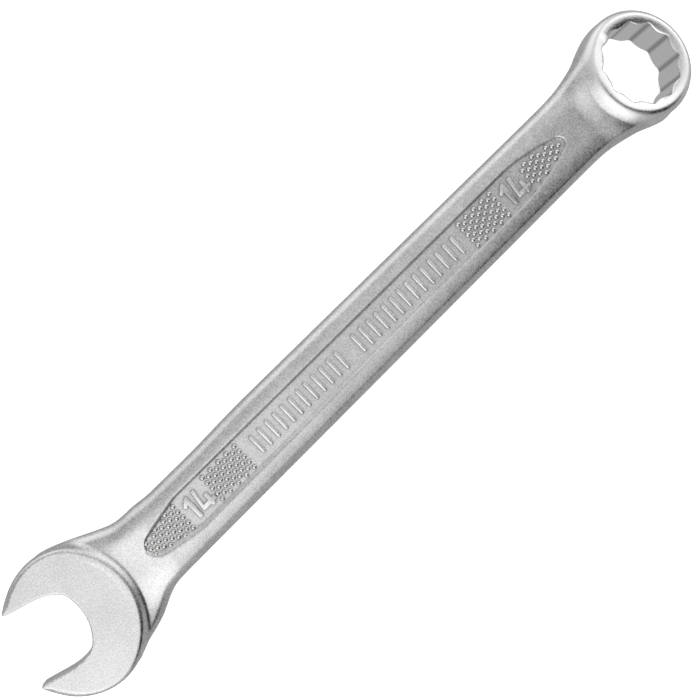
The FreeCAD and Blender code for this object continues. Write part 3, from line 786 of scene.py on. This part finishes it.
rib_width, rib_length, rib_draft = 0.8, 4.1, 0.06
rib_corner, rib_edge, smooth_angle = 0.28, 0.09, math.radians(50)
rib = bmesh.new()
bmesh.ops.create_cube(rib, size=1.0)
for vertex in rib.verts:
    draft = rib_draft if vertex.co.z > 0 else 0.0
    vertex.co.x = math.copysign(rib_width / 2 - draft, vertex.co.x)
    vertex.co.y = math.copysign(rib_length / 2 - draft, vertex.co.y)
    vertex.co.z = relief_height if vertex.co.z > 0 else -relief_root
upright = [edge for edge in rib.edges if abs(edge.verts[0].co.z - edge.verts[1].co.z) > 0.1]
bmesh.ops.bevel(rib, geom=upright, offset=rib_corner, segments=3, affect="EDGES", profile=0.5)
rim = [edge for edge in rib.edges if all(v.co.z > relief_height - 0.01 for v in edge.verts)]
bmesh.ops.bevel(rib, geom=rim, offset=rib_edge, segments=2, affect="EDGES", profile=0.5)
rib_mesh = bpy.data.meshes.new("rib")
rib.to_mesh(rib_mesh)
rib.free()
rib_mesh.shade_smooth()
rib_mesh.set_sharp_from_angle(angle=smooth_angle)
rib_count, rib_pitch, first_group, group_gap = 26, 1.95, 12, 2.4
rib_low, rib_high, relief_margin = -28.4, 27.1, 0.35
usable = rib_high - rib_low - 2 * relief_margin - group_gap
spare = (usable - rib_count * rib_pitch) / 2
for side in ("front", "rear"):
    piece = repeated(side + "_rib_row", rib_tree, rib_mesh, {
        "Start": rib_low + relief_margin + spare + rib_pitch / 2, "Pitch": rib_pitch,
        "Count": rib_count, "First Group": first_group, "Group Gap": group_gap,
        "Floor": panel_floor, "Material": relief_chrome,
    }, side)
    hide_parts(side + "_ribs")
    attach(piece, "root")

# The size number, 14, raised twice on each panel between the fields of studs. It is pressed
# with them from the same steel and stands a little higher than the ribs.
numeral_height, stroke = 4.6, 0.185
figure_extrude, figure_bevel = 0.17, 0.05
figure_places = (-40.9, 39.6)
one_right, one_left = -0.21, -0.21 - stroke
one = [
    (one_right, 0.5), (one_right, -0.5), (one_left, -0.5), (one_left, 0.21),
    (-0.52, 0.11), (-0.62, 0.22), (one_left + 0.07, 0.5),
]
stem_right, bar_foot = 0.3 + stroke * 0.9, -0.22 - stroke
four = [
    (0.02, 0.5), (0.02 + stroke * 0.9, 0.5), (0.05, -0.22), (0.3, -0.22), (0.3, 0.07),
    (stem_right, 0.07), (stem_right, -0.22), (0.62, -0.22), (0.62, bar_foot),
    (stem_right, bar_foot), (stem_right, -0.5), (0.3, -0.5), (0.3, bar_foot),
    (-0.1, bar_foot),
]
for side in ("front", "rear"):
    figures = bpy.data.curves.new(side + "_figures", "CURVE")
    figures.dimensions = "2D"
    figures.fill_mode = "BOTH"
    figures.extrude = figure_extrude
    figures.bevel_depth = figure_bevel
    figures.bevel_resolution = 2
    figures.offset = -figure_bevel
    for middle in figure_places:
        for outline in (one, four):
            spline = figures.splines.new("POLY")
            spline.points.add(len(outline) - 1)
            spline.use_cyclic_u = True
            for point, (u, v) in zip(spline.points, outline):
                point.co = (middle + numeral_height * u, numeral_height * v, 0, 1)
    holder = bpy.data.objects.new(side + "_figures", figures)
    bpy.context.scene.collection.objects.link(holder)
    evaluated = holder.evaluated_get(bpy.context.evaluated_depsgraph_get())
    mesh = bpy.data.meshes.new_from_object(evaluated)
    bpy.data.objects.remove(holder)
    cleaned = bmesh.new()
    cleaned.from_mesh(mesh)
    bmesh.ops.remove_doubles(cleaned, verts=cleaned.verts[:], dist=1e-4)
    bmesh.ops.recalc_face_normals(cleaned, faces=cleaned.faces[:])
    cleaned.to_mesh(mesh)
    cleaned.free()
    mesh.transform(Matrix.Translation((0, 0, panel_floor + relief_height - figure_extrude)))
    mesh.transform(on_face[side])
    mesh.shade_smooth()
    mesh.set_sharp_from_angle(angle=smooth_angle)
    mesh.materials.clear()
    mesh.materials.append(relief_chrome)
    piece = bpy.data.objects.new(side + "_size_figures", mesh)
    bpy.context.scene.collection.objects.link(piece)
    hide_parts(side + "_size_numbers")
    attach(piece, "root")

# The studio: a plain white floor under a pale soft room. The room is brighter above the
# jaws, past the ring and along the upper side, and dimmer along the lower side. A wide lamp
# overhead lights the floor evenly.
floor_mesh = bpy.data.meshes.new("studio_floor")
reach = 3.0
floor_mesh.from_pydata(
    [(-reach, -reach, 0), (reach, -reach, 0), (reach, reach, 0), (-reach, reach, 0)],
    [], [(0, 1, 2, 3)],
)
floor = bpy.data.objects.new("studio_floor", floor_mesh)
bpy.context.scene.collection.objects.link(floor)
white, fibre_dark, fibre_light = (1, 1, 1, 1), (0.93, 0.93, 0.93, 1), (0.96, 0.96, 0.96, 1)
paper = Shader(bpy.data.materials.new("white_paper"))
fibre = paper.noise(paper.node("ShaderNodeTexCoord", {}, {}, "Object"), 400.0, 3.0)
paper.finish("Principled BSDF", {
    "Base Color": paper.mixed(fibre.eased(0.3, 0.7), fibre_dark, fibre_light),
    "Roughness": 0.9, "Specular IOR Level": 0.0,
    "Emission Color": white, "Emission Strength": 0.45,
})
floor_mesh.materials.append(paper.owner)
floor.visible_glossy = False

room = bpy.data.worlds.new("studio_room")
bpy.context.scene.world = room
room_shader = Shader(room)
looking = room_shader.node("ShaderNodeTexCoord", {}, {}, "Generated")


def glow(towards, wide, narrow):
    """How near a direction is to that one: 0 beyond the wide angle, 1 within the narrow."""
    aimed = room_shader.node(
        "ShaderNodeVectorMath", {"operation": "DOT_PRODUCT"},
        {0: looking, 1: Vector(towards).normalized()}, "Value",
    )
    return aimed.eased(math.cos(math.radians(wide)), math.cos(math.radians(narrow)))


window = glow((-0.42, -0.4, 0.83), 42, 6)
shadow_side = glow((0.36, -0.56, 0.74), 42, 14)
far_side = glow((0.9, 0.05, 0.5), 34, 6)
upper_left = glow((-0.4, 0.75, 0.5), 48, 10)
upper_right = glow((0.5, 0.7, 0.5), 48, 10)
upper_side = glow((0.1, 0.97, 0.12), 42, 12)
lower_side = glow((0.25, -0.95, 0.1), 38, 12)
below = glow((0, 0, -1), 88, 70)
strength = 0.57 + window * 0.74 - shadow_side * 0.57 + far_side * 0.75
strength = strength - upper_left * 0.2 + upper_right * 0.12
strength = strength + upper_side * 0.38 - lower_side * 0.2
strength = strength * (1 - below * 0.3)
room_shader.finish("Background", {"Color": white, "Strength": strength})

lamp_data = bpy.data.lights.new("overhead_softbox", "AREA")
lamp_data.shape = "DISK"
lamp_data.size = 1.2
lamp_data.energy = 9.0
lamp = bpy.data.objects.new("overhead_softbox", lamp_data)
bpy.context.scene.collection.objects.link(lamp)
lamp.location = (0, 0, 0.9)
lamp.visible_glossy = False

# The camera looks down on the front face from about 300 mm, turned so that the tool lies
# along the frame's diagonal.
camera_data = bpy.data.cameras.new("camera")
camera_data.sensor_width = 36.0
camera_data.lens = 84.7903
camera_data.clip_end = 20.0
camera = bpy.data.objects.new("camera", camera_data)
bpy.context.scene.collection.objects.link(camera)
aim = (
    Matrix.Rotation(math.radians(-44.677), 3, "Z")
    @ Matrix.Rotation(math.radians(-4.414), 3, "Y")
    @ Matrix.Rotation(math.radians(0.37), 3, "X")
)
camera.matrix_world = Matrix.Translation(
    tool_to_row @ Vector((-20.09, 14.96, 300.0))
) @ (tool_turn @ aim).to_4x4()
bpy.context.scene.camera = camera
bpy.context.scene.view_settings.view_transform = "Standard"
